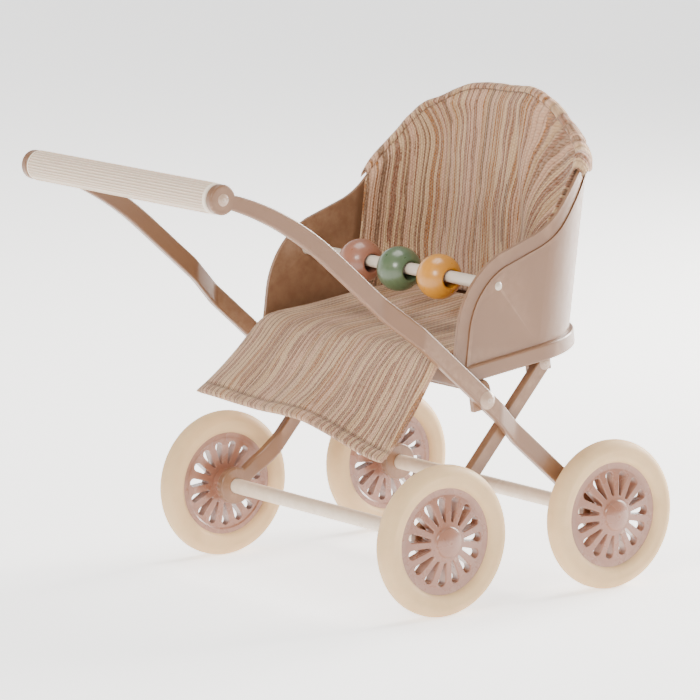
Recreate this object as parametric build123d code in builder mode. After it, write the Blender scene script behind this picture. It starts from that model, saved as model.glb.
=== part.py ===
from build123d import *
import math
import os

# Doll stroller, in millimetres. +X is the way it rolls, +Y is its left side, +Z is up.
# The origin is on the floor, under the centre of the bounding box.

os.makedirs("parts", exist_ok=True)

# ---------------------------------------------------------------- driving sizes
overall_length = 118.0
wheel_radius = 16.5
wheelbase = 46.0
track = 82.0                      # between the middles of the left and right tyres
handle_height = 94.2
grip_radius = 3.3
bead_radius = 5.0

front_axle_x = overall_length / 2 - wheel_radius
rear_axle_x = front_axle_x - wheelbase
axle_z = wheel_radius
handle_x = grip_radius - overall_length / 2
half_track = track / 2

running_clearance = 0.08          # radial, between a turning shaft and its hole
far_out = 70.0                    # longer than any half-width, for cuts right through

# ---------------------------------------------------------------- wheels
rim_radius = 12.0
rim_visible_radius = 11.6         # the tyre's lips hide the rest
rim_half_width = 1.2
tyre_half_width = 2.5
hub_radius = 3.5
hub_boss = 2.9                    # reach of the hub towards the axle lug
hub_cap = 3.6                     # reach of the domed cap away from the stroller
axle_radius = 1.7
axle_grip = 1.5                   # how far past the wheel's middle the axle is pressed in
slot_count = 15
slot_outer_reach = 8.75
slot_inner_reach = 4.7
slot_wide = 0.95
slot_narrow = 0.28

# ---------------------------------------------------------------- flat steel strips
strip = 2.0                       # thickness of bars and legs
lug_inner_y = 35.5
lug_radius = 4.2
bar_width = 4.0
bar_angle = math.radians(41.6)
bar_straight = 94.3               # from the front axle up to where the handle bend starts
bar_handle_width = 3.0
bar_handle_angle = math.radians(16.0)
bar_disc_radius = 3.2
bar_handle_y = 34.3               # inner face beside the grip
bar_seat_y = 37.9                 # inner face beside the seat
leg_width = 3.5
leg_seat_y = 33.3                 # inner face below the seat
leg_bend = (3.8, 21.9)
leg_top = (29.3, 50.7)

# ---------------------------------------------------------------- handle and rivets
tie_radius = 1.0
grip_half_length = 34.05          # a quarter of a millimetre short of the bars at each end
grip_collar = 0.8                 # plain band left at each end of the flutes
flute_count = 32
flute_radius = 0.3
rivet_radius = 0.9                # rivets through bars and legs
bar_rivet = (10.0, 45.3)          # where a bar carries the front bracket
bracket_sheet = 1.2
plate_rivet_radius = 0.8          # rivets through the pan's plate

# ---------------------------------------------------------------- seat
seat_front_x = 4.1
seat_front_z = 51.9               # top of the pan's plate at its front edge
seat_tilt = math.radians(7.5)     # the back of the seat is higher than its front
pan_length = 41.4
pan_half_width = 36.6
pan_corner = 17.5
pan_sheet = 0.9
skirt_depth = 3.6

shell_half_width = 35.8
shell_sheet = 0.9
shell_corner = 17.0
shell_lean = math.radians(8.0)    # the backrest leans away from the doll
shell_back_x = 44.0               # outer face of the back, at the height shell_datum_z
shell_datum_z = 54.0
shell_base_z = 40.0               # the leaning walls are drawn from here, then trimmed
crown_height = 105.2              # top of the back, in the middle
crown_end = (24.0, 94.5)          # (y, z) where the crown's arc ends; the cloth pocket hides it
shoulder_end_z = 92.5             # from there the edge falls slowly to the sides
border_inset = 3.5                # from the shell's edge to its pressed border line
border_width = 0.9
border_height = 0.3

bead_bar = (16.2, 69.0)
bead_bar_radius = 1.35
bead_bar_tenon = 0.8              # the bar's thin ends, riveted over outside the shell
bead_hole = 2.0
bead_hang = 0.5                   # the beads hang a little below the bar's centre
bead_places = {"bead_rose": 14.4, "bead_green": 0.0, "bead_mustard": -14.6}

# ---------------------------------------------------------------- fabric liner
liner_gap = 0.4                   # between the cloth and the sheet metal
liner_thickness = 2.6
liner_seat_lift = 1.2             # underside of the seat cloth above the pan's plate
liner_half_width = 34.0
liner_side_start = 28.0           # the back cloth wraps forward to here
flap_end = (-14.6, 39.6)
pocket_thickness = 1.2
pocket_hem_z = 90.5

front_bracket_along = 5.0         # along the seat, from its front edge
rear_bracket_along = 24.8
front_rivet_y = 10.0
rear_rivet_y = 29.8
plate_rivets = [(front_bracket_along, y) for y in (-front_rivet_y, front_rivet_y)]
plate_rivets += [(rear_bracket_along, y) for y in (-rear_rivet_y, rear_rivet_y)]

seat_plane = Plane(
    origin=(seat_front_x, 0, seat_front_z),
    x_dir=(math.cos(seat_tilt), 0, math.sin(seat_tilt)),
    z_dir=(-math.sin(seat_tilt), 0, math.cos(seat_tilt)),
)


def seat_point(along, lift):
    """(x, z) of a point so far along the seat and so far above the pan's plate."""
    point = seat_plane.from_local_coords((along, 0, lift))
    return (point.X, point.Z)


def across_seat(along):
    """Plane across the seat: its x is +Y, its y is the seat's upward normal."""
    point = seat_plane.from_local_coords((along, 0, 0))
    return Plane(origin=point, x_dir=(0, 1, 0), z_dir=seat_plane.x_dir)


def head(origin, direction, radius, height):
    """A domed head standing on origin and pointing along direction."""
    with BuildPart() as dome:
        with BuildSketch(Plane.XZ):
            with BuildLine():
                cap = TangentArc((0, height), (radius, 0), tangent=(1, 0))
                Polyline(cap @ 1, (0, 0), cap @ 0)
            make_face()
        revolve(axis=Axis.Z)
    return dome.part.moved(Plane(origin=origin, z_dir=direction).location)


def save(part, name):
    """Label one finished piece and write it."""
    part.label = name
    export_step(part, f"parts/{name}.step")


# ================================================================ wheels and axles
def wheel_place(x, side, turn):
    """Where a wheel drawn about +Z goes, its +Z pointing away from the stroller."""
    turned = math.radians(turn)
    middle = (x, side * half_track, axle_z)
    return Plane(origin=middle, x_dir=(math.cos(turned), 0, math.sin(turned)), z_dir=(0, side, 0)).location


with BuildSketch() as teardrop:
    with Locations((slot_outer_reach, 0)):
        Circle(slot_wide)
    with Locations((slot_inner_reach, 0)):
        Circle(slot_narrow)
    make_hull()

# a dished rim with a domed hub cap and teardrop slots, blind-bored for the axle
with BuildPart() as rim:
    with BuildSketch(Plane.XZ):
        with BuildLine():
            land = Line((rim_radius, rim_half_width), (10.2, rim_half_width))
            cone = ThreePointArc(land @ 1, (6.8, 1.75), (hub_radius + 0.2, 2.3))
            foot = ThreePointArc(cone @ 1, (hub_radius - 0.2, 2.55), (hub_radius - 0.4, 2.9))
            dome = TangentArc((0, hub_cap), foot @ 1, tangent=(1, 0))
            core = Line(dome @ 0, (0, -hub_boss))
            boss = Line(core @ 1, (3.0, -hub_boss))
            rise = Line(boss @ 1, (3.3, -0.7))
            back = Line(rise @ 1, (10.2, -rim_half_width + 0.2))
            lip = Line(back @ 1, (10.6, -rim_half_width))
            edge = Line(lip @ 1, (rim_radius, -rim_half_width))
            Line(edge @ 1, land @ 0)
        make_face()
    revolve(axis=Axis.Z)
    with BuildSketch(Plane.XY.offset(-hub_boss)):
        with PolarLocations(0, slot_count, start_angle=180 / slot_count):
            add(teardrop.sketch)
    extrude(amount=hub_boss + hub_cap, mode=Mode.SUBTRACT)
    outer_side = [e for e in rim.edges() if (e @ 0.5).Z > 1.0]
    slot_rims = [e for e in outer_side if 4.0 < math.hypot((e @ 0.5).X, (e @ 0.5).Y) < 9.9]
    fillet(slot_rims, radius=0.22)
    with BuildSketch(Plane.XY.offset(-hub_boss)):
        Circle(axle_radius)
    extrude(amount=hub_boss + axle_grip, mode=Mode.SUBTRACT)

# a soft tyre with rounded shoulders, gripping the rim's edge in its groove
with BuildPart() as tyre:
    with BuildSketch(Plane.XZ):
        with BuildLine():
            groove = Line((rim_radius, 0), (rim_radius, rim_half_width))
            lip = Line(groove @ 1, (rim_visible_radius, rim_half_width))
            bead = ThreePointArc(lip @ 1, (12.1, 1.95), (13.0, 2.36))
            flank = Line(bead @ 1, (14.3, tyre_half_width))
            shoulder = ThreePointArc(flank @ 1, (15.85, 1.85), (wheel_radius, 0.5))
            tread = Line(shoulder @ 1, (wheel_radius, 0))
            Line(tread @ 1, groove @ 0)
        make_face()
        mirror(about=Plane.XZ)
    revolve(axis=Axis.Z)


def make_axle(x):
    """One rod across the stroller, pressed into a wheel at each end."""
    with BuildPart() as axle:
        with BuildSketch(Plane.XZ):
            with Locations((x, axle_z)):
                Circle(axle_radius)
        extrude(amount=half_track + axle_grip, both=True)
    return axle.part


axles = {"front": front_axle_x, "rear": rear_axle_x}
sides = {"left": 1, "right": -1}
wheel_turns = {("front", "left"): 5, ("front", "right"): 12, ("rear", "left"): 17, ("rear", "right"): 12}

for end, axle_x in axles.items():
    save(make_axle(axle_x), f"{end}_axle")
    for hand, side in sides.items():
        place = wheel_place(axle_x, side, wheel_turns[end, hand])
        save(rim.part.moved(place), f"rim_{end}_{hand}")
        save(tyre.part.moved(place), f"tyre_{end}_{hand}")


# ================================================================ bars and legs
def strip_plan(route, side):
    """Seen from above, the track of a strip whose inner face follows route."""
    bend = 4.0
    with BuildSketch() as plan:
        with BuildLine():
            inner = FilletPolyline(*[(x, side * y) for x, y in route], radius=bend)
            outer = FilletPolyline(*[(x, side * (y + strip)) for x, y in route], radius=bend)
            Line(inner @ 0, outer @ 0)
            Line(inner @ 1, outer @ 1)
        make_face()
    return plan.sketch


def soften(part, radius):
    """Round the long edges that run along a strip's two faces."""
    outline = [e for e in part.edges() if e.length > 1.0]
    fillet(outline, radius=radius)


def make_bar(side):
    """A handle bar: disc beside the grip, bend, joggle past the seat, lug on the front axle."""
    up = Vector(-math.cos(bar_angle), math.sin(bar_angle))
    square = Vector(math.sin(bar_angle), math.cos(bar_angle))
    end_square = Vector(math.sin(bar_handle_angle), math.cos(bar_handle_angle))
    lug = Vector(front_axle_x, axle_z)
    bend = lug + up * bar_straight
    hand = Vector(handle_x, handle_height)
    route = [
        (-far_out, bar_handle_y),
        (-14.5, bar_handle_y),
        (-7.0, bar_seat_y),
        (13.8, bar_seat_y),
        (19.6, lug_inner_y),
        (far_out, lug_inner_y),
    ]
    with BuildPart() as bar:
        with BuildSketch(Plane.XZ):
            with BuildLine():
                top = Line(lug + square * (bar_width / 2), bend + square * (bar_width / 2))
                top_bend = TangentArc(top @ 1, hand + end_square * (bar_handle_width / 2), tangent=up)
                foot = Line(lug - square * (bar_width / 2), bend - square * (bar_width / 2))
                foot_bend = TangentArc(foot @ 1, hand - end_square * (bar_handle_width / 2), tangent=up)
                Line(top_bend @ 1, foot_bend @ 1)
                Line(top @ 0, foot @ 0)
            make_face()
            with Locations((hand.X, hand.Y)):
                Circle(bar_disc_radius)
            with Locations((lug.X, lug.Y)):
                Circle(lug_radius)
        extrude(amount=far_out, both=True)
        with BuildSketch():
            add(strip_plan(route, side))
        extrude(amount=2 * far_out, mode=Mode.INTERSECT)
        soften(bar, 0.45)
        with BuildSketch(Plane.XZ):
            with Locations((lug.X, lug.Y)):
                Circle(axle_radius + running_clearance)
            with Locations((hand.X, hand.Y)):
                Circle(tie_radius)
            with Locations(bar_rivet):
                Circle(rivet_radius)
        extrude(amount=far_out, both=True, mode=Mode.SUBTRACT)
    return bar.part


def make_leg(side):
    """A leg: lug on the rear axle, joggle inwards, rounded top end below the seat."""
    lug = (rear_axle_x, axle_z)
    route = [
        (-far_out, lug_inner_y),
        (1.8, lug_inner_y),
        (6.8, leg_seat_y),
        (far_out, leg_seat_y),
    ]
    with BuildPart() as leg:
        with BuildSketch(Plane.XZ):
            with BuildLine() as line:
                FilletPolyline(lug, leg_bend, leg_top, radius=20)
            trace(line.line, line_width=leg_width)
            with Locations(leg_top):
                Circle(leg_width / 2)
            with Locations(lug):
                Circle(lug_radius)
        extrude(amount=far_out, both=True)
        with BuildSketch():
            add(strip_plan(route, side))
        extrude(amount=2 * far_out, mode=Mode.INTERSECT)
        soften(leg, 0.45)
        with BuildSketch(Plane.XZ):
            with Locations(lug):
                Circle(axle_radius + running_clearance)
            with Locations(leg_top):
                Circle(rivet_radius)
        extrude(amount=far_out, both=True, mode=Mode.SUBTRACT)
    return leg.part


for hand, side in sides.items():
    save(make_bar(side), f"handle_bar_{hand}")
    save(make_leg(side), f"leg_{hand}")


# ================================================================ handle
with BuildPart() as handle_tie_rod:
    with BuildSketch(Plane.XZ):
        with Locations((handle_x, handle_height)):
            Circle(tie_radius)
    extrude(amount=bar_handle_y + strip, both=True)
    for side in sides.values():
        add(head((handle_x, side * (bar_handle_y + strip), handle_height), (0, side, 0), 1.3, 0.3))

save(handle_tie_rod.part, "handle_tie_rod")

with BuildPart() as handle_grip:
    with BuildSketch(Plane.XZ):
        with Locations((handle_x, handle_height)):
            Circle(grip_radius)
    extrude(amount=grip_half_length, both=True)
    fillet(handle_grip.edges().filter_by(GeomType.CIRCLE), radius=0.45)
    with BuildSketch(Plane.XZ):
        with Locations((handle_x, handle_height)):
            with PolarLocations(grip_radius + flute_radius * 0.4, flute_count):
                Circle(flute_radius)
    extrude(amount=grip_half_length - grip_collar, both=True, mode=Mode.SUBTRACT)
    with BuildSketch(Plane.XZ):
        with Locations((handle_x, handle_height)):
            Circle(tie_radius + running_clearance)
    extrude(amount=grip_half_length, both=True, mode=Mode.SUBTRACT)

save(handle_grip.part, "handle_grip")


# ================================================================ seat
def pan_face(inset):
    """The pan's outline, square in front and round at the rear, drawn that much inside it."""
    with BuildSketch() as face:
        with Locations((inset, 0)):
            Rectangle(pan_length - 2 * inset, 2 * (pan_half_width - inset), align=(Align.MIN, Align.CENTER))
        fillet(face.vertices().sort_by(Axis.X)[-2:], radius=pan_corner - inset)
        fillet(face.vertices().sort_by(Axis.X)[:2], radius=1.6 - inset)
    return face.sketch


with BuildPart() as seat_pan:
    with BuildSketch(seat_plane):
        add(pan_face(0))
    extrude(amount=-skirt_depth)
    fillet(seat_pan.faces().sort_by(Axis.Z)[-1].edges(), radius=0.5)
    with BuildSketch(seat_plane.offset(-pan_sheet)):
        add(pan_face(pan_sheet))
    extrude(amount=-skirt_depth, mode=Mode.SUBTRACT)
    with BuildSketch(seat_plane):
        with Locations(*plate_rivets):
            Circle(plate_rivet_radius)
    extrude(amount=-pan_sheet, mode=Mode.SUBTRACT)

save(seat_pan.part, "seat_pan")


def strap(half_path):
    """Full sketch of a bent strap from the right half of its middle line."""
    mirrored = [(-y, n) for y, n in reversed(half_path)]
    with BuildSketch() as band:
        with BuildLine() as line:
            FilletPolyline(*mirrored, *half_path, radius=1.4)
        trace(line.line, line_width=bracket_sheet)
    return band.sketch


front_path = [(14.5, -1.5), (18.5, -4.4), (37.3, -4.4), (37.3, -9.7)]
rear_path = [(25.3, -4.4), (28.2, -1.5), (32.7, -1.5), (32.7, -6.6)]

with BuildPart() as front_bracket:
    with BuildSketch(across_seat(front_bracket_along)):
        add(strap(front_path))
    extrude(amount=2.5, both=True)
    with BuildSketch(Plane.XZ):
        with Locations(bar_rivet):
            Circle(rivet_radius)
    extrude(amount=far_out, both=True, mode=Mode.SUBTRACT)
    with BuildSketch(seat_plane):
        with Locations(*plate_rivets):
            Circle(plate_rivet_radius)
    extrude(amount=-far_out, mode=Mode.SUBTRACT)

save(front_bracket.part, "front_bracket")

with BuildPart() as rear_bracket:
    with BuildSketch(across_seat(rear_bracket_along)):
        add(strap(rear_path))
    extrude(amount=3.0, both=True)
    with BuildSketch(Plane.XZ):
        with Locations(leg_top):
            Circle(rivet_radius)
    extrude(amount=far_out, both=True, mode=Mode.SUBTRACT)
    with BuildSketch(seat_plane):
        with Locations(*plate_rivets):
            Circle(plate_rivet_radius)
    extrude(amount=-far_out, mode=Mode.SUBTRACT)

save(rear_bracket.part, "rear_bracket")


def cross_rivets(name, place, inner_y, outer_y, outer_head, tail):
    """A left and a right rivet along Y at place, each from its tail inside to its head outside."""
    x, z = place
    with BuildPart() as rivets:
        for side in sides.values():
            with BuildSketch(Plane.XZ.offset(-side * inner_y)):
                with Locations(place):
                    Circle(rivet_radius)
            extrude(amount=-side * (outer_y - inner_y))
            add(head((x, side * outer_y, z), (0, side, 0), *outer_head))
            add(head((x, side * inner_y, z), (0, -side, 0), *tail))
    save(rivets.part, name)


cross_rivets("bar_rivets", bar_rivet, 36.7, 39.9, (2.0, 0.8), (1.5, 0.45))
cross_rivets("leg_rivets", leg_top, 32.1, 35.3, (1.5, 0.35), (1.5, 0.45))

with BuildPart() as bracket_rivets:
    for along, y in plate_rivets:
        with BuildSketch(seat_plane.offset(-pan_sheet - bracket_sheet)):
            with Locations((along, y)):
                Circle(plate_rivet_radius)
        extrude(amount=pan_sheet + bracket_sheet)
        above = seat_plane.from_local_coords((along, y, 0))
        below = seat_plane.from_local_coords((along, y, -pan_sheet - bracket_sheet))
        add(head(above, seat_plane.z_dir, 1.5, 0.6))
        add(head(below, -seat_plane.z_dir, 1.15, 0.4))

save(bracket_rivets.part, "bracket_rivets")


# ================================================================ seat shell
def u_area(inset):
    """Plan of everything inside the shell's outer face, drawn that much inside it, open in front."""
    back = shell_back_x + (shell_base_z - shell_datum_z) * math.tan(shell_lean)
    with BuildSketch() as area:
        with Locations((back - inset, 0)):
            Rectangle(far_out, 2 * (shell_half_width - inset), align=(Align.MAX, Align.CENTER))
        fillet(area.vertices().sort_by(Axis.X)[-2:], radius=shell_corner - inset)
    return area.sketch


def side_area(grow):
    """Side view of everything behind and below the shell's curved edge, grown by that much."""
    with BuildSketch() as area:
        with BuildLine():
            front = Line((3.0, 43.5), (5.2, 60.3))
            lower = TangentArc(front @ 1, (16.6, 75.8), tangent=front % 1)
            waist = Line(lower @ 1, (26.0, 79.1))
            sweep = TangentArc(waist @ 1, (33.0, 83.8), tangent=waist % 1)
            rise = Line(sweep @ 1, (44.0, 96.2))
            top = Line(rise @ 1, (52.0, 125.0))
            Polyline(top @ 1, (80.0, 125.0), (80.0, 30.0), (3.0, 30.0), front @ 0)
        make_face()
        if grow:
            offset(amount=grow, kind=Kind.INTERSECTION)
    return area.sketch


def crown_area(grow):
    """Seen from the front, everything below the crown's arc and the lower edges beside it, grown."""
    y, z = crown_end
    low_z = 30.0
    with BuildSketch() as area:
        with BuildLine():
            arc = ThreePointArc((-y, z), (0, crown_height), (y, z))
            right = Polyline(arc @ 1, (far_out, shoulder_end_z), (far_out, low_z))
            left = Polyline((-far_out, low_z), (-far_out, shoulder_end_z), arc @ 0)
            Line(right @ 1, left @ 0)
        make_face()
        if grow:
            offset(amount=grow, kind=Kind.INTERSECTION)
    return area.sketch


def edge_room(grow):
    """All the space below the shell's curved side edges and its crown, grown by that much."""
    with BuildPart() as room:
        with BuildSketch(Plane.XZ):
            add(side_area(grow))
        extrude(amount=far_out, both=True)
        with BuildSketch(Plane.YZ):
            add(crown_area(grow))
        extrude(amount=2 * far_out, both=True, mode=Mode.INTERSECT)
    return room.part


def lean_up():
    """Raise the pending plan along the leaning walls."""
    extrude(amount=far_out, dir=lean_direction)


lean_direction = (math.sin(shell_lean), 0, math.cos(shell_lean))
base_plane = Plane.XY.offset(shell_base_z)

with BuildPart() as foot_flange:
    with BuildSketch(base_plane):
        add(u_area(0))
        add(u_area(3.4), mode=Mode.SUBTRACT)
    lean_up()
    with BuildSketch(seat_plane):
        Rectangle(pan_length, far_out * 2, align=(Align.MIN, Align.CENTER))
    extrude(amount=shell_sheet, mode=Mode.INTERSECT)

with BuildPart() as inside_border:
    with BuildSketch(base_plane):
        add(u_area(-2))
    lean_up()
    add(edge_room(-border_inset - border_width / 2), mode=Mode.INTERSECT)

with BuildPart() as border:
    with BuildSketch(base_plane):
        add(u_area(-border_height))
        add(u_area(shell_sheet / 2), mode=Mode.SUBTRACT)
    lean_up()
    add(edge_room(-border_inset + border_width / 2), mode=Mode.INTERSECT)
    add(inside_border.part, mode=Mode.SUBTRACT)

with BuildPart() as seat_shell:
    with BuildSketch(base_plane):
        add(u_area(0))
        add(u_area(shell_sheet), mode=Mode.SUBTRACT)
    lean_up()
    add(edge_room(0), mode=Mode.INTERSECT)
    add(border.part)
    split(bisect_by=seat_plane, keep=Keep.TOP)
    add(foot_flange.part)
    with BuildSketch(Plane.XZ):
        with Locations(bead_bar):
            Circle(bead_bar_tenon)
    extrude(amount=far_out, both=True, mode=Mode.SUBTRACT)

save(seat_shell.part, "seat_shell")


# ================================================================ bead bar
with BuildPart() as bead_rod:
    with BuildSketch(Plane.XZ):
        with Locations(bead_bar):
            Circle(bead_bar_radius)
    extrude(amount=shell_half_width - shell_sheet, both=True)
    with BuildSketch(Plane.XZ):
        with Locations(bead_bar):
            Circle(bead_bar_tenon)
    extrude(amount=shell_half_width, both=True)
    for side in sides.values():
        add(head((bead_bar[0], side * shell_half_width, bead_bar[1]), (0, side, 0), 0.95, 0.35))

save(bead_rod.part, "bead_rod")

for name, y in bead_places.items():
    centre = (bead_bar[0], y, bead_bar[1] - bead_hang)
    with BuildPart() as bead:
        with Locations(centre):
            Sphere(bead_radius)
        with Locations(Location(centre, (90, 0, 0))):
            Cylinder(bead_hole, 3 * bead_radius, mode=Mode.SUBTRACT)
        fillet(bead.edges().filter_by(GeomType.CIRCLE), radius=0.35)
    save(bead.part, name)


# ================================================================ fabric liner
inner_face = shell_sheet + liner_gap

with BuildPart() as seat_cloth:
    with BuildSketch(base_plane):
        add(u_area(inner_face))
    lean_up()
    with BuildSketch(seat_plane.offset(liner_seat_lift)):
        with Locations((1.0, 0)):
            Rectangle(far_out, 2 * liner_half_width, align=(Align.MIN, Align.CENTER))
    extrude(amount=liner_thickness, mode=Mode.INTERSECT)

with BuildPart() as front_flap:
    with BuildSketch(Plane.XZ):
        with BuildLine() as fall:
            FilletPolyline(
                seat_point(12.0, liner_seat_lift + liner_thickness / 2),
                seat_point(-1.4, liner_seat_lift + liner_thickness / 2),
                flap_end,
                radius=5.0,
            )
        trace(fall.line, line_width=liner_thickness)
    extrude(amount=liner_half_width, both=True)

with BuildPart() as liner_panel:
    with BuildSketch(base_plane):
        add(u_area(inner_face))
        add(u_area(inner_face + liner_thickness), mode=Mode.SUBTRACT)
    lean_up()
    add(edge_room(0), mode=Mode.INTERSECT)
    split(bisect_by=Plane.YZ.offset(liner_side_start), keep=Keep.TOP)
    split(bisect_by=seat_plane.offset(liner_seat_lift), keep=Keep.TOP)
    add(seat_cloth.part)
    add(front_flap.part)

save(liner_panel.part, "liner_panel")

with BuildPart() as pocket_room:
    with BuildSketch(base_plane):
        add(u_area(-liner_gap))
    lean_up()
    add(edge_room(liner_gap), mode=Mode.INTERSECT)

with BuildPart() as liner_pocket:
    with BuildSketch(base_plane):
        add(u_area(-liner_gap - pocket_thickness))
        add(u_area(inner_face + liner_thickness), mode=Mode.SUBTRACT)
    lean_up()
    add(edge_room(liner_gap + pocket_thickness), mode=Mode.INTERSECT)
    add(pocket_room.part, mode=Mode.SUBTRACT)
    split(bisect_by=Plane.XY.offset(pocket_hem_z), keep=Keep.TOP)

save(liner_pocket.part, "liner_pocket")
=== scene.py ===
import functools
import math

import bmesh
import bpy
from mathutils import Matrix, Vector, noise


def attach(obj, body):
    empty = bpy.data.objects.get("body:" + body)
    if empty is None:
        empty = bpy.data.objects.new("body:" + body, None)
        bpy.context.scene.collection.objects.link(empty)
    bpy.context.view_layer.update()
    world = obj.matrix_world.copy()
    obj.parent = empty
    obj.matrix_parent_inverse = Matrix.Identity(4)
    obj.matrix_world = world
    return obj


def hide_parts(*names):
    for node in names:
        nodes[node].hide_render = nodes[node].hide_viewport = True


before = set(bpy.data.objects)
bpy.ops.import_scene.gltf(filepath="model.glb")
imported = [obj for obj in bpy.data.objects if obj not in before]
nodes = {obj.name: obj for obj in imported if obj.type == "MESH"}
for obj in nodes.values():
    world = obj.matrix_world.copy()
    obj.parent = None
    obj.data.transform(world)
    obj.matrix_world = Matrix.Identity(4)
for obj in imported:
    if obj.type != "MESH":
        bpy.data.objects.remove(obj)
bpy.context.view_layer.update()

MM = 0.001

# ---------------------------------------------------------------- sizes shared with the CAD, in millimetres
seat_front = (4.1, 51.9)          # top of the pan's plate at its front edge, (x, z)
seat_tilt = math.radians(7.5)
shell_lean = math.radians(8.0)
shell_back_x, shell_datum_z = 44.0, 54.0
shell_half_width, shell_corner = 35.8, 17.0
crown_height = 105.2              # top of the steel back, in the middle
crown_end = (24.0, 94.5)          # (y, z) where the steel crown's arc ends
crown_side = (70.0, 92.5)         # (y, z) that the lower edge beside it falls towards
steel_thickness = 0.9             # of the shell's wall
# (x, z) along the shell's side edge where the back cloth is, and on above the crown
edge_knots = [(22.3, 77.8), (26.0, 79.1), (29.8, 81.0), (33.0, 83.8), (44.0, 96.2), (52.0, 125.0)]

# ---------------------------------------------------------------- the cloth's own sizes, in millimetres
seat_half_width = 33.7
seat_room = 2.1                   # between the shell's outer face and the seat cloth's edge
seat_cloth = 2.0                  # thickness of the quilted seat and back
hem_width = 4.5
back_foot = 2.6                   # bottom edge of the back cloth, above the pan's plate
back_inset = 2.2                  # middle of the back cloth, inside the shell's outer face
back_half_span = 41.5             # along the back cloth from its middle to its free edge
pocket_cloth = 0.9
pocket_near, pocket_far = -35.0, 41.0   # the pocket's ends, along the back cloth
pocket_hem_z = 90.5
pocket_cut = 13.0                 # from the crown's seam down to the hem, unfolded, on average
pocket_along = 120                # where the pocket's seam lies along the woven cloth, past the back's top
sway, sway_size, sway_seed = 0.35, 14, 9.3   # of the stripes on the back and the pocket
fan_a, fan_z = 7.0, 69.0          # on the near side the stripes spread from about here
fan_reach = 14.0                  # distance from there at which they keep their woven width
# the woven pattern
rib_width = 0.62
stitch_step = 0.74
yarn_pair = 1.7                   # one pale yarn and one deep yarn
# (place along the back, height) of the cloth crown's ridge, which is a little higher on the far side
crown_knots = [(-42.0, 88.0), (-36.0, 91.6), (-33.5, 92.7), (-29.8, 94.0), (-25.5, 96.4), (-21.6, 99.0)]
crown_knots += [(-16.1, 101.8), (-12.4, 103.4), (-9.2, 104.5), (-5.5, 106.1), (-2.0, 106.7), (1.5, 106.2)]
crown_knots += [(7.7, 106.3), (13.5, 105.9), (16.5, 104.8), (20.1, 102.4), (24.7, 100.6), (31.2, 96.6)]
crown_knots += [(37.3, 91.2), (40.8, 86.2), (44.0, 81.5)]


# ================================================================ material helpers
def srgb(r, g, b):
    """A colour as picked on screen, turned to linear."""
    def linear(c):
        c = c / 255
        return c / 12.92 if c <= 0.04045 else ((c + 0.055) / 1.055) ** 2.4
    return (linear(r), linear(g), linear(b), 1.0)


def darker(colour, share):
    return tuple(share * c for c in colour[:3]) + (1,)


class Shader:
    """A material's node tree, with the few node patterns this scene repeats."""

    def __init__(self, name):
        self.material = bpy.data.materials.new(name)
        self.material.use_nodes = True
        self.tree = self.material.node_tree
        self.bsdf = self.tree.nodes["Principled BSDF"]

    def node(self, kind, inputs=None, **settings):
        made = self.tree.nodes.new(kind)
        for key, value in settings.items():
            setattr(made, key, value)
        for key, value in (inputs or {}).items():
            if isinstance(value, bpy.types.NodeSocket):
                self.tree.links.new(value, made.inputs[key])
            else:
                made.inputs[key].default_value = value
        return made

    def math(self, operation, a, b=0.0):
        return self.node("ShaderNodeMath", {0: a, 1: b}, operation=operation).outputs[0]

    def object_space(self):
        return self.node("ShaderNodeTexCoord").outputs["Object"]

    def uv_map(self, name):
        return self.node("ShaderNodeUVMap", uv_map=name).outputs["UV"]

    def axes(self, vector):
        return self.node("ShaderNodeSeparateXYZ", {0: vector}).outputs

    def stretched(self, vector, scale):
        return self.node("ShaderNodeMapping", {"Vector": vector, "Scale": scale}).outputs[0]

    def noise(self, where, scale, detail=3.0):
        inputs = {"Vector": where, "Scale": scale, "Detail": detail, "Roughness": 0.55}
        return self.node("ShaderNodeTexNoise", inputs).outputs["Fac"]

    def ramp(self, factor, stops):
        """One of a few colours, without blending between them."""
        made = self.node("ShaderNodeValToRGB", {"Fac": factor})
        made.color_ramp.interpolation = "CONSTANT"
        elements = made.color_ramp.elements
        while len(elements) < len(stops):
            elements.new(0.5)
        for element, (position, colour) in zip(elements, stops):
            element.position = position
            element.color = colour
        return made.outputs["Color"]

    def mix(self, factor, a, b):
        """Colour a where factor is 0, b where it is 1."""
        made = self.node("ShaderNodeMix", data_type="RGBA", blend_type="MIX")
        for index, value in ((0, factor), (6, a), (7, b)):
            if isinstance(value, bpy.types.NodeSocket):
                self.tree.links.new(value, made.inputs[index])
            else:
                made.inputs[index].default_value = value
        return made.outputs[2]

    def span(self, value, low, high, to_low, to_high):
        """Value from low to high, spread over to_low to to_high and held there beyond them."""
        made = self.node("ShaderNodeMapRange", {"Value": value, "From Min": low, "From Max": high})
        made.inputs["To Min"].default_value = to_low
        made.inputs["To Max"].default_value = to_high
        return made.outputs["Result"]

    def set(self, **values):
        for key, value in values.items():
            name = key.replace("_", " ")
            if isinstance(value, bpy.types.NodeSocket):
                self.tree.links.new(value, self.bsdf.inputs[name])
            else:
                self.bsdf.inputs[name].default_value = value

    def bump(self, height, distance, strength, after=None):
        inputs = {"Height": height, "Distance": distance, "Strength": strength}
        if after is not None:
            inputs["Normal"] = after
        return self.node("ShaderNodeBump", inputs).outputs["Normal"]


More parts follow.
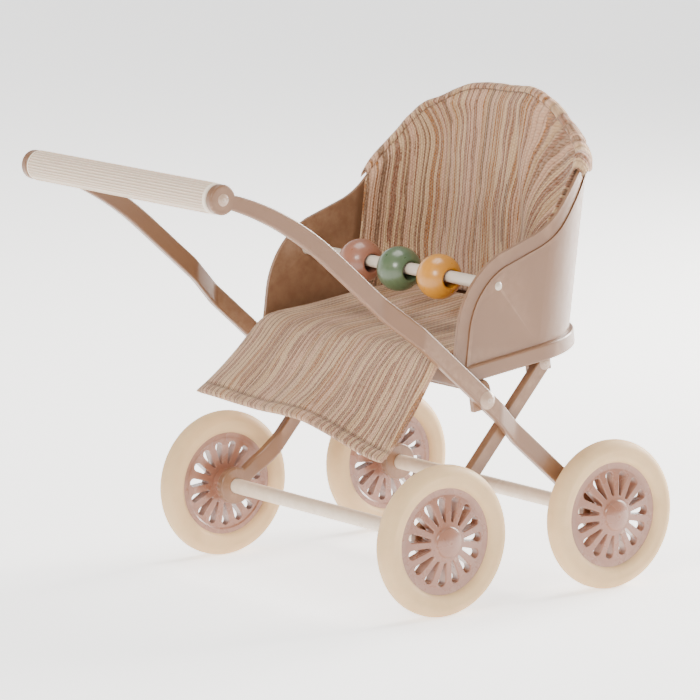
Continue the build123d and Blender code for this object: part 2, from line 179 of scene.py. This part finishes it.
def enamel(name, colour, worn, roughness=0.36, coat=0.25):
    """Satin baked enamel on steel: faint mottling, fine orange peel, and paint rubbed paler on edges."""
    s = Shader(name)
    place = s.object_space()
    mottling = s.span(s.noise(place, 90, detail=4), 0.35, 0.65, 0.0, 0.5)
    base = s.mix(mottling, colour, darker(colour, 0.9))
    edge = s.span(s.node("ShaderNodeNewGeometry").outputs["Pointiness"], 0.53, 0.62, 0.0, 0.6)
    patches = s.span(s.noise(place, 500), 0.35, 0.7, 0.3, 1.0)
    base = s.mix(s.math("MULTIPLY", edge, patches), base, worn)
    speck = s.span(s.noise(place, 1400, detail=2), 0.70, 0.78, 0.0, 0.25)
    base = s.mix(speck, base, darker(colour, 0.75))
    dullness = s.span(s.noise(place, 260), 0.3, 0.7, roughness - 0.06, roughness + 0.08)
    s.set(Base_Color=base, Roughness=dullness, Coat_Weight=coat, Coat_Roughness=0.22)
    peel = s.bump(s.noise(place, 900, detail=2), 0.03 * MM, 0.35)
    s.set(Normal=s.bump(s.noise(place, 120, detail=2), 0.1 * MM, 0.25, after=peel))
    return s.material


def moulded(name, colour, dust_and_shade, roughness, depth):
    """Moulded rubber or plastic: fine matt grain, random dusty patches, painted shade in the low spots, a
    little light passing through.
    """
    s = Shader(name)
    place = s.object_space()
    dusty = s.math("MULTIPLY", s.span(s.noise(place, 140, detail=5), 0.45, 0.75, 0.0, 0.5), 0.6)
    # painted shade: the colour darkens in the concave low spots, where shade falls
    low = s.span(s.node("ShaderNodeNewGeometry").outputs["Pointiness"], 0.40, 0.49, 0.7, 0.0)
    base = s.mix(s.math("MAXIMUM", dusty, low), colour, dust_and_shade)
    dullness = s.span(s.noise(place, 320), 0.3, 0.7, roughness - 0.08, roughness + 0.1)
    s.set(Base_Color=base, Roughness=dullness, Specular_IOR_Level=0.4)
    s.set(Subsurface_Weight=0.08, Subsurface_Scale=MM)
    s.set(Normal=s.bump(s.noise(place, 1800, detail=3), depth, 0.5))
    return s.material


def painted_wood(name, colour, dark):
    """A turned wooden bead under satin paint: faint grain rings show through the paint."""
    s = Shader(name)
    place = s.object_space()
    wave = {"Vector": place, "Scale": 260.0, "Distortion": 4.0, "Detail": 2.0}
    rings = s.node("ShaderNodeTexWave", wave, bands_direction="Y").outputs["Fac"]
    cloudy = s.span(s.noise(place, 180, detail=4), 0.3, 0.7, 0.0, 0.35)
    base = s.mix(cloudy, colour, dark)
    base = s.mix(s.math("MULTIPLY", rings, 0.10), base, dark)
    dullness = s.span(s.noise(place, 500), 0.3, 0.7, 0.26, 0.40)
    s.set(Base_Color=base, Roughness=dullness, Specular_IOR_Level=0.5)
    s.set(Coat_Weight=0.35, Coat_Roughness=0.15)
    grain = s.bump(rings, 0.02 * MM, 0.3)
    s.set(Normal=s.bump(s.noise(place, 700, detail=2), 0.03 * MM, 0.3, after=grain))
    return s.material


def striped_cloth(name):
    """Fine ribbed cloth with random narrow stripes.

    Its "cloth" UV map holds millimetres across and along, and "seam" the distance from a sewn line.
    """
    s = Shader(name)
    uv = s.uv_map("cloth")
    across, along, _up = s.axes(uv)
    across = s.math("ADD", across, s.span(s.noise(uv, 0.07, detail=1), 0.3, 0.7, -0.5, 0.5))
    frayed = s.math("ADD", across, s.span(s.noise(uv, 3.0, detail=3), 0.3, 0.7, -0.05, 0.05))
    # three random numbers for each narrow band of yarns pick its colours
    band = {"W": frayed, "Scale": 0.80, "Randomness": 0.9}
    bands = s.node("ShaderNodeTexVoronoi", band, voronoi_dimensions="1D")
    picks = s.node("ShaderNodeSeparateColor", {0: bands.outputs["Color"]})
    pick_pale, pick_deep, pick_width = picks.outputs
    pales = [(0.0, srgb(192, 156, 118)), (0.4, srgb(188, 144, 116)), (0.7, srgb(174, 136, 98))]
    deeps = [(0.0, srgb(134, 84, 62)), (0.3, srgb(110, 72, 48)), (0.5, srgb(146, 86, 36))]
    deeps += [(0.64, srgb(138, 98, 74)), (0.8, srgb(124, 72, 50))]
    pale = s.ramp(pick_pale, pales)
    deep = s.ramp(pick_deep, deeps)
    # pale and deep yarns take turns, the deep ones now wider and now narrower
    slow = s.noise(s.stretched(uv, (1.0, 0.03, 1.0)), 0.6, detail=1)
    place = s.math("ADD", frayed, s.span(slow, 0.3, 0.7, -0.7, 0.7))
    turn = s.math("SINE", s.math("MULTIPLY", place, 2 * math.pi / yarn_pair))
    widened = s.math("ADD", turn, s.span(pick_width, 0.0, 1.0, -0.5, 0.35))
    is_deep = s.span(widened, -0.12, 0.12, 0.0, 1.0)
    yarn = s.mix(is_deep, pale, deep)
    # ribs run along the cloth, and stitches cross them, half a step off on every second rib
    rib = s.math("ABSOLUTE", s.math("SINE", s.math("MULTIPLY", across, math.pi / rib_width)))
    odd = s.math("FLOOR", s.math("MODULO", s.math("DIVIDE", across, rib_width), 2.0))
    half_step = s.math("MULTIPLY", odd, math.pi)
    step = s.math("ADD", s.math("MULTIPLY", along, 2 * math.pi / stitch_step), half_step)
    stitch = s.span(s.math("SINE", step), -1.0, 1.0, 0.0, 1.0)
    # painted shade in the grooves between the ribs
    painted_groove_shade = s.span(rib, 0.0, 0.55, 0.62, 0.0)
    on_deep = s.span(is_deep, 0.0, 1.0, 0.35, 1.25)
    # painted shade in the hollows between the stitches, stronger on the deep yarns
    painted_stitch_shade = s.math("MULTIPLY", s.span(stitch, 0.0, 0.5, 0.70, 0.0), on_deep)
    shade = s.mix(painted_groove_shade, yarn, srgb(104, 70, 46))
    shade = s.mix(painted_stitch_shade, shade, srgb(92, 58, 36))
    heather = s.span(s.noise(s.stretched(uv, (4.0, 1.2, 1.0)), 1.0, detail=4), 0.35, 0.7, 0.0, 0.28)
    shade = s.mix(heather, shade, srgb(226, 200, 168))
    # painted shade along the seams, darkest at the sewn line
    from_seam = s.axes(s.uv_map("seam"))[0]
    shade = s.mix(s.span(from_seam, 0.0, 0.55, 0.85, 0.0), shade, srgb(64, 40, 26))
    s.set(Base_Color=shade, Roughness=0.92, Specular_IOR_Level=0.15)
    s.set(Sheen_Weight=0.35, Sheen_Roughness=0.5, Sheen_Tint=srgb(255, 240, 225))
    height = s.math("ADD", s.math("MULTIPLY", rib, 0.7), s.math("MULTIPLY", stitch, 0.35))
    weave = s.bump(height, 0.22 * MM, 0.9)
    s.set(Normal=s.bump(s.noise(uv, 5.0, detail=3), 0.12 * MM, 0.5, after=weave))
    return s.material


# ================================================================ materials on the CAD nodes
beige = enamel("beige_enamel", srgb(124, 88, 62), srgb(170, 134, 106))
rim_paint = enamel("rim_enamel", srgb(144, 98, 78), srgb(190, 150, 130), roughness=0.28, coat=0.5)
axle_paint = enamel("axle_enamel", srgb(216, 194, 168), srgb(232, 216, 198), roughness=0.32)
white_rod = enamel("bead_bar_enamel", srgb(200, 184, 166), srgb(222, 210, 196), roughness=0.34)
tyre_rubber = moulded("cream_rubber", srgb(214, 180, 134), srgb(176, 138, 98), 0.6, 0.03 * MM)
grip_plastic = moulded("grip_plastic", srgb(236, 222, 204), srgb(196, 168, 144), 0.5, 0.02 * MM)
rivet_metal = enamel("rivet_enamel", srgb(176, 146, 124), srgb(222, 208, 194), roughness=0.25, coat=0.4)

finishes = {
    "handle_grip": grip_plastic,
    "bead_rod": white_rod,
    "front_axle": axle_paint,
    "rear_axle": axle_paint,
    "handle_tie_rod": rivet_metal,
    "bar_rivets": rivet_metal,
    "leg_rivets": rivet_metal,
    "bracket_rivets": rivet_metal,
    "bead_rose": painted_wood("rose_bead", srgb(150, 98, 76), srgb(124, 76, 58)),
    "bead_green": painted_wood("green_bead", srgb(84, 102, 72), srgb(58, 76, 50)),
    "bead_mustard": painted_wood("mustard_bead", srgb(204, 138, 40), srgb(170, 104, 22)),
}
for name, node in nodes.items():
    paint = finishes.get(name, beige)
    if name.startswith("rim_"):
        paint = rim_paint
    if name.startswith("tyre_"):
        paint = tyre_rubber
    node.data.materials.clear()
    node.data.materials.append(paint)
# the pressed sheet-metal pieces get softly rounded edges
for name in ("seat_shell", "seat_pan", "front_bracket", "rear_bracket"):
    rounded = nodes[name].modifiers.new("worn_edges", "BEVEL")
    rounded.width, rounded.segments = 0.22 * MM, 2
    rounded.limit_method, rounded.angle_limit = "ANGLE", math.radians(50)
    nodes[name].modifiers.new("even_shading", "WEIGHTED_NORMAL").keep_sharp = True


# ================================================================ cloth geometry
def smooth(low, high, x):
    t = min(1.0, max(0.0, (x - low) / (high - low)))
    return t * t * (3 - 2 * t)


def through(points, t):
    """Catmull-Rom curve through points, t from 0 to 1."""
    spans = len(points) - 1
    at = min(t * spans, spans - 1e-6)
    i = int(at)
    f = at - i
    p0, p1, p2, p3 = (points[max(0, min(spans, i + k))] for k in (-1, 0, 1, 2))
    squared = 2 * p0 - 5 * p1 + 4 * p2 - p3
    cubed = 3 * p1 - p0 - 3 * p2 + p3
    return 0.5 * (2 * p1 + (p2 - p0) * f + squared * f ** 2 + cubed * f ** 3)


def path_length(points, end, steps):
    """Length of the curve through points, from its start to t = end."""
    places = [through(points, end * k / steps) for k in range(steps + 1)]
    return sum((b - a).length for a, b in zip(places, places[1:]))


def seat_plate(x, lift):
    """(x, z) point above the pan's plate, lift measured square to it."""
    along = (x - seat_front[0]) / math.cos(seat_tilt)
    plate_z = seat_front[1] + along * math.sin(seat_tilt)
    return Vector((x - lift * math.sin(seat_tilt), plate_z + lift * math.cos(seat_tilt)))


def back_x(z):
    """The shell's outer face in the middle of the back."""
    return shell_back_x + (z - shell_datum_z) * math.tan(shell_lean)


def corner_radius(z):
    """The shell's corner below the pocket; the cloth crown above it rounds off more and more."""
    return min(28.0, shell_corner + 0.09 * max(0.0, z - 90.0) ** 2)


def span_of(radius):
    """Along the back cloth, from its middle to the end of a corner of that radius."""
    return shell_half_width - radius + (radius - back_inset) * math.pi / 2


def plan(a, inset, z):
    """Point on the U plan at a, inset inside the outer face, and the outward direction there.

    a runs along the back cloth from its middle, measured below the crown.
    """
    side = 1 if a >= 0 else -1
    radius = corner_radius(z)
    flat = shell_half_width - radius
    along = abs(a) * span_of(radius) / span_of(shell_corner)
    angle = min(max(0.0, along - flat) / (radius - back_inset), math.pi / 2)
    forward = max(0.0, along - span_of(radius))
    y = min(along, flat) + (radius - inset) * math.sin(angle)
    x = back_x(z) - radius + (radius - inset) * math.cos(angle) - forward
    rise = -math.cos(angle) * math.sin(shell_lean)
    outward = Vector((math.cos(angle) * math.cos(shell_lean), side * math.sin(angle), rise))
    return Vector((x, side * y, z)), outward.normalized()


def between(knots, at):
    """Straight-line value through (place, value) knots."""
    for (p0, v0), (p1, v1) in zip(knots, knots[1:]):
        if at <= p1:
            return v0 + (v1 - v0) * (at - p0) / (p1 - p0)
    return knots[-1][1]


def steel_top(x, y):
    """Height of the shell's steel edge over a plan point."""
    reach, low = crown_end
    drop = crown_height - low
    radius = (reach ** 2 + drop ** 2) / (2 * drop)
    if abs(y) < reach:
        crown = crown_height - radius + math.sqrt(radius ** 2 - y ** 2)
    else:
        crown = between([crown_end, crown_side], abs(y))
    return min(crown, between(edge_knots, x))


@functools.lru_cache(maxsize=None)
def steel_edge(a):
    """Height of the shell's steel edge at the place a on the back."""
    low, high = 60.0, 108.0
    for _ in range(30):
        z = (low + high) / 2
        point, _outward = plan(a, steel_thickness / 2, z)
        if z < steel_top(point.x, point.y):
            low = z
        else:
            high = z
    return low


@functools.lru_cache(maxsize=None)
def crown(a):
    """Ridge of the cloth crown at a, its knots rounded off, and never below the steel."""
    nearby = (-1.6, -0.8, 0.0, 0.8, 1.6)
    ridge = sum(between(crown_knots, a + k) for k in nearby) / len(nearby)
    return max(ridge, steel_edge(a) + 1.2)


def cloth_mesh(name, columns, rows, face, thickness, uv, seam):
    """A closed piece of cloth from a grid of places (u, v), each from 0 to 1, in millimetres.

    face gives its middle surface and the direction square to it, uv the place on the woven cloth,
    and seam the distance from the nearest sewn line.
    """
    bm = bmesh.new()
    layer = bm.loops.layers.uv.new("cloth")
    seam_layer = bm.loops.layers.uv.new("seam")
    fronts, backs = {}, {}
    for i in range(columns + 1):
        for j in range(rows + 1):
            point, square = face(i / columns, j / rows)
            half = thickness(i / columns, j / rows) / 2
            fronts[i, j] = bm.verts.new((point + square * half) * MM)
            backs[i, j] = bm.verts.new((point - square * half) * MM)

    def add_face(corners, verts):
        made = bm.faces.new(verts)
        for loop, (i, j) in zip(made.loops, corners):
            loop[layer].uv = uv(i / columns, j / rows)
            loop[seam_layer].uv = (seam(i / columns, j / rows), 0.0)
        made.smooth = True

    for i in range(columns):
        for j in range(rows):
            ring = [(i, j), (i + 1, j), (i + 1, j + 1), (i, j + 1)]
            add_face(ring, [fronts[k] for k in ring])
            add_face(ring[::-1], [backs[k] for k in ring[::-1]])
    rim = [(i, 0) for i in range(columns)] + [(columns, j) for j in range(rows)]
    rim += [(i, rows) for i in range(columns, 0, -1)] + [(0, j) for j in range(rows, 0, -1)]
    for a, b in zip(rim, rim[1:] + rim[:1]):
        add_face([a, b, b, a][::-1], [fronts[a], fronts[b], backs[b], backs[a]][::-1])
    bmesh.ops.recalc_face_normals(bm, faces=bm.faces)
    mesh = bpy.data.meshes.new(name)
    bm.to_mesh(mesh)
    bm.free()
    made = bpy.data.objects.new(name, mesh)
    bpy.context.collection.objects.link(made)
    smoother = made.modifiers.new("smoother", "SUBSURF")
    smoother.levels = smoother.render_levels = 1
    return made


def ripple(x, y, size, seed):
    """Smooth noise from -1 to 1, with humps about that size."""
    return noise.noise(Vector((x / size, y / size, seed)))


# ---------------------------------------------------------------- seat and front flap
# (x, z) down the middle of the cloth, from the flap's hem up over the pan's front edge
flap_line = [(-15.4, 39.3), (-12.2, 41.3), (-8.6, 43.9), (-4.6, 47.4), (-0.9, 51.2), (2.4, 54.2)]
# x, and lift off the pan's plate, from there to the backrest
laid_line = [(6.5, 3.0), (14, 2.6), (22, 2.5), (30, 2.5), (38.8, 2.5)]
seat_line = [Vector(point) for point in flap_line] + [seat_plate(x, lift) for x, lift in laid_line]
flap_share = (len(flap_line) - 1) / (len(seat_line) - 1)
seat_length = path_length(seat_line, 1.0, 200)


def seat_across(u):
    return (2 * u - 1) * seat_half_width


def seat_face(u, v):
    across = seat_across(u)
    middle = through(seat_line, v)
    ahead = through(seat_line, min(1.0, v + 0.01)) - through(seat_line, max(0.0, v - 0.01))
    up = Vector((-ahead.y, 0, ahead.x)).normalized()
    # the flap hangs lower at its near corner than at its far one
    hang = 1 - smooth(0.0, flap_share * 1.15, v)
    near = smooth(0.1, 1.0, -across / seat_half_width)
    far = smooth(0.3, 1.0, across / seat_half_width)
    x = middle.x + hang * (1.5 * near - 0.2 * far)
    z = middle.y + hang * (-5.6 * near + 0.7 * far)
    # the cloth narrows where the shell's corners round off
    room = shell_half_width - seat_room
    corner = max(0.0, x - (back_x(z) - shell_corner))
    if corner:
        reach = shell_corner - seat_room
        beside = math.sqrt(max(0.0, reach ** 2 - min(corner, reach) ** 2))
        room = shell_half_width - shell_corner + beside
    y = across / seat_half_width * min(seat_half_width, room)
    uneven = 0.5 + 0.5 * ripple(across, v * 60, 16, 3.1)
    wave = 0.45 * hang * math.sin(across / 3.6 + 1.1) * uneven
    wave += 0.5 * ripple(across, v * seat_length, 13, 7.7) * (0.35 + 0.65 * hang)
    return Vector((x, y, z)) + up * wave, up


def seat_thickness(u, v):
    """Thin at the rim, pinched in along the hem's seam, and padded on the pan."""
    along = v * seat_length
    from_rim = smooth(0.0, 2.2, seat_half_width - abs(seat_across(u))) * smooth(-0.6, 1.4, along)
    folded = 0.25 * (1 - smooth(hem_width - 1.0, hem_width, along))
    pinched = 0.7 * math.exp(-((along - hem_width) / 0.55) ** 2)
    padded = 1.1 + (seat_cloth - 1.1) * smooth(10, 26, along)
    return 0.35 + (padded + folded - pinched) * from_rim


def seat_uv(u, v):
    return (seat_across(u), v * seat_length)


def seat_seam(_u, v):
    """The painted shade along the hem's seam is fainter and wider than along the pocket's."""
    return 0.1 + 0.5 * abs(v * seat_length - hem_width)


cloth = striped_cloth("striped_cloth")
seat_shape = (seat_face, seat_thickness, seat_uv, seat_seam)
seat_piece = cloth_mesh("liner_seat", 84, 96, *seat_shape)


# ---------------------------------------------------------------- backrest
@functools.lru_cache(maxsize=None)
def back_heights(a):
    """Bottom and top of the back cloth at a: it ends inside the pocket, or just below the steel's edge."""
    foot, _outward = plan(a, back_inset, 60.0)
    low = seat_plate(foot.x, back_foot).y
    held = in_pocket(a)
    return low, (steel_edge(a) - 0.5) * (1 - held) + (crown(a) - 1.1) * held


def in_pocket(a):
    """1 where the pocket holds the cloth's top, 0 beside it."""
    at_near = smooth(pocket_near - 2.0, pocket_near + 1.0, a)
    return at_near * (1 - smooth(pocket_far - 1.5, pocket_far + 1.5, a))


def back_place(u, v):
    """Place along the back, height, and the heights that the cloth runs between there."""
    a = (2 * u - 1) * back_half_span
    low, top = back_heights(a)
    return a, low + (top - low) * v, low, top


def back_face(u, v):
    a, z, _low, top = back_place(u, v)
    # at the top the cloth comes out to the pocket's seam, over the steel's edge
    to_ridge = smooth(3.6, 0.0, top - z) * in_pocket(a)
    loose = 1 - to_ridge
    free_edge = 0.15 * smooth(28, 38, abs(a))
    point, outward = plan(a, back_inset + free_edge * loose - 0.7 * to_ridge, z)
    gathers = 0.16 * smooth(0.6, 0.95, v) * math.sin(a / 1.45) * smooth(4, 16, abs(a)) * loose
    # one long crease leans up the back from the near side towards the middle
    crease_at = -8.5 + 7.0 * smooth(72, 103, z)
    crease = 0.75 * math.exp(-((a - crease_at) / 1.3) ** 2)
    crease *= smooth(68, 76, z) * (1 - smooth(95, 104, z))
    puff = 0.9 * math.sin(math.pi * min(1.0, v * 1.05))
    puff *= 1 - smooth(0.55, 1.0, abs(a) / back_half_span)
    soft = 0.4 * ripple(a, z, 12, 1.7) + 0.15 * ripple(a, z, 5, 4.2)
    return point - outward * ((puff + soft) * loose + gathers - crease), outward


def back_thickness(u, v):
    a, z, _low, top = back_place(u, v)
    edge = min(top - z, back_half_span - abs(a))
    return 0.45 + (seat_cloth - 0.65) * smooth(0.0, 2.6, edge)


def fan(a, z):
    """Where the stripes go: straight up the far side, spreading towards the near edge and crown."""
    if a > -fan_a:
        return a
    out = -a - fan_a
    height = math.hypot(max(0.0, z - fan_z), 5.0)
    bent = math.radians(0.9) * min(18.0, max(0.0, z - 75.0)) * smooth(0.0, 20.0, out)
    return -fan_a - fan_reach * (math.atan2(out, height) - bent)


def stripe_place(a, z):
    return fan(a, z) + sway * ripple(a, z, sway_size, sway_seed)


def back_uv(u, v):
    a, z, low, _top = back_place(u, v)
    return (stripe_place(a, z), seat_length + z - low)


def back_seam(u, v):
    """The seam runs where the back meets the pocket, and ends with it."""
    a, z, _low, top = back_place(u, v)
    return top - z + 9 * (1 - in_pocket(a))


back_shape = (back_face, back_thickness, back_uv, back_seam)
back_piece = cloth_mesh("liner_back", 110, 64, *back_shape)


# ---------------------------------------------------------------- pocket over the top of the backrest
def steel_gap(a, z):
    """How far the steel stands outside the cloth's plan at a, where the crown rounds off."""
    point, outward = plan(a, 0.0, z)
    corner = min(shell_corner, max(0.0, abs(point.y) - (shell_half_width - shell_corner)))
    steel_x = back_x(z) - shell_corner + math.sqrt(shell_corner ** 2 - corner ** 2)
    if z > steel_top(steel_x, point.y) + 0.6:
        return 0.0
    return max(0.0, (steel_x - point.x) * outward.x)


@functools.lru_cache(maxsize=None)
def pocket_path(a):
    """Cross-section of the pocket at a: (outward from the plan, height) pairs, front to back."""
    ridge = crown(a) - pocket_cloth / 2
    slope = (crown(a + 0.4) - crown(a - 0.4)) / 0.8
    steep = min(1.6, math.hypot(1.0, slope))
    hem = pocket_hem_z - 6.0 * smooth(31, 41, a) + 1.0 * smooth(27, 35, -a)
    hem = min(hem, ridge - 1.2 * steep)
    over = ridge - 0.9 * steep    # the front seam's height, and where the back starts to drop straight
    path = [(-1.7, over), (-1.3, ridge - 0.2 * steep), (-0.4, ridge), (0.45, ridge - 0.6 * steep)]
    for share in (0.2, 0.5, 1.0):
        z = over - (over - hem) * share
        path.append((0.55 + steel_gap(a, z), z))
    return [Vector(p) for p in path]


def pocket_place(u):
    return pocket_near + (pocket_far - pocket_near) * u


def pocket_face(u, v):
    a = pocket_place(u)
    path = pocket_path(a)
    here = through(path, v)
    ahead = through(path, min(1.0, v + 0.02)) - through(path, max(0.0, v - 0.02))
    point, outward = plan(a, 0.0, here.y)
    flat_out = Vector((outward.x, outward.y, 0)).normalized()
    square = (flat_out * -ahead.y + Vector((0, 0, 1)) * ahead.x).normalized()
    pleat = 0.10 * math.sin(a / 1.3) * smooth(0.15, 0.4, v)
    pleat += 0.3 * ripple(a, v * 20, 9, 5.5) * smooth(0.4, 0.8, v)
    return point + flat_out * here.x + square * abs(pleat), square


def pocket_thickness(u, v):
    """Thin at its rim, and thicker along the turned hem."""
    edge = min(v, 1 - v) * 14
    ends = min(u, 1 - u) * (pocket_far - pocket_near)
    body = pocket_cloth - 0.3 + 0.25 * smooth(0.80, 0.86, v)
    return 0.3 + body * smooth(0.0, 0.9, edge) * smooth(0.0, 1.0, ends)


def pocket_uv(u, v):
    """The back's stripes go on over the pocket."""
    a = pocket_place(u)
    return (stripe_place(a, crown(a)), path_length(pocket_path(a), v, 12) + pocket_along)


def pocket_seam(_u, v):
    return v * pocket_cut


pocket_shape = (pocket_face, pocket_thickness, pocket_uv, pocket_seam)
pocket_piece = cloth_mesh("liner_pocket_cloth", 150, 26, *pocket_shape)

# ---------------------------------------------------------------- what the cloth pieces stand for
stands_for = ((seat_piece, "liner_panel"), (back_piece, "liner_panel"), (pocket_piece, "liner_pocket"))
for piece, stood_for in stands_for:
    piece.data.materials.append(cloth)
    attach(piece, "frame")
    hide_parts(stood_for)

# ================================================================ floor, light and camera
# a sheet of paper in metres: flat under the stroller, curling up behind it
paper_front, paper_depth, paper_half_width = -3.0, 5.2, 4
curl_from, curl = 1.2, 0.9
paper_steps = 24
floor_mesh = bpy.data.meshes.new("floor")
sweep = bmesh.new()
strips = []
for k in range(paper_steps + 1):
    y = paper_front + paper_depth * (k / paper_steps)
    z = curl * max(0.0, y - curl_from) ** 2
    strips.append([sweep.verts.new((x, y, z)) for x in (-paper_half_width, paper_half_width)])
for (a, b), (c, d) in zip(strips, strips[1:]):
    sweep.faces.new((a, b, d, c)).smooth = True
sweep.to_mesh(floor_mesh)
sweep.free()
floor = bpy.data.objects.new("floor", floor_mesh)
bpy.context.collection.objects.link(floor)
paper = Shader("paper")
paper.set(Base_Color=(0.93, 0.925, 0.915, 1.0), Roughness=0.9)
paper.set(Emission_Color=(1.0, 1.0, 1.0, 1.0), Emission_Strength=1.4)
floor_mesh.materials.append(paper.material)

world = bpy.data.worlds.new("studio")
bpy.context.scene.world = world
world.use_nodes = True
sky = world.node_tree.nodes["Background"].inputs
sky["Color"].default_value = (1.0, 0.985, 0.96, 1.0)
sky["Strength"].default_value = 0.42


def softbox(name, place, aim, size, power):
    lamp = bpy.data.lights.new(name, "AREA")
    lamp.size = size
    lamp.energy = power
    lamp.color = (1.0, 0.97, 0.93)
    made = bpy.data.objects.new(name, lamp)
    bpy.context.collection.objects.link(made)
    made.location = place
    made.rotation_mode = "QUATERNION"
    made.rotation_quaternion = (Vector(aim) - Vector(place)).to_track_quat("-Z", "Y")


# places and sizes in metres, power in watts
middle = Vector((0, 0, 0.055))
softbox("key", (-0.75, -0.45, 0.50), middle, 0.30, 7.0)
softbox("rim", (0.60, 0.00, 0.25), middle, 0.35, 15.0)
softbox("top", (0.0, 0.1, 0.9), middle, 0.5, 5.5)

# the camera fitted to the photo's wheels, handle and seat, in metres and degrees
camera_place = (-0.6409, -0.8860, 0.2401)
azimuth, elevation, roll = math.radians(-35.99), math.radians(9.76), math.radians(-0.50)
camera_data = bpy.data.cameras.new("camera")
camera_data.lens = 260.07
camera_data.sensor_width = 36.0
camera_data.clip_start, camera_data.clip_end = 0.05, 30.0
camera = bpy.data.objects.new("camera", camera_data)
bpy.context.collection.objects.link(camera)
level = math.cos(elevation)
back = Vector((math.sin(azimuth) * level, -math.cos(azimuth) * level, math.sin(elevation)))
right = Vector((math.cos(azimuth), math.sin(azimuth), 0))
up = back.cross(right)
turned_right = right * math.cos(roll) + up * math.sin(roll)
turned_up = up * math.cos(roll) - right * math.sin(roll)
turn = Matrix((turned_right, turned_up, back)).transposed().to_4x4()
camera.matrix_world = Matrix.Translation(camera_place) @ turn
bpy.context.scene.camera = camera
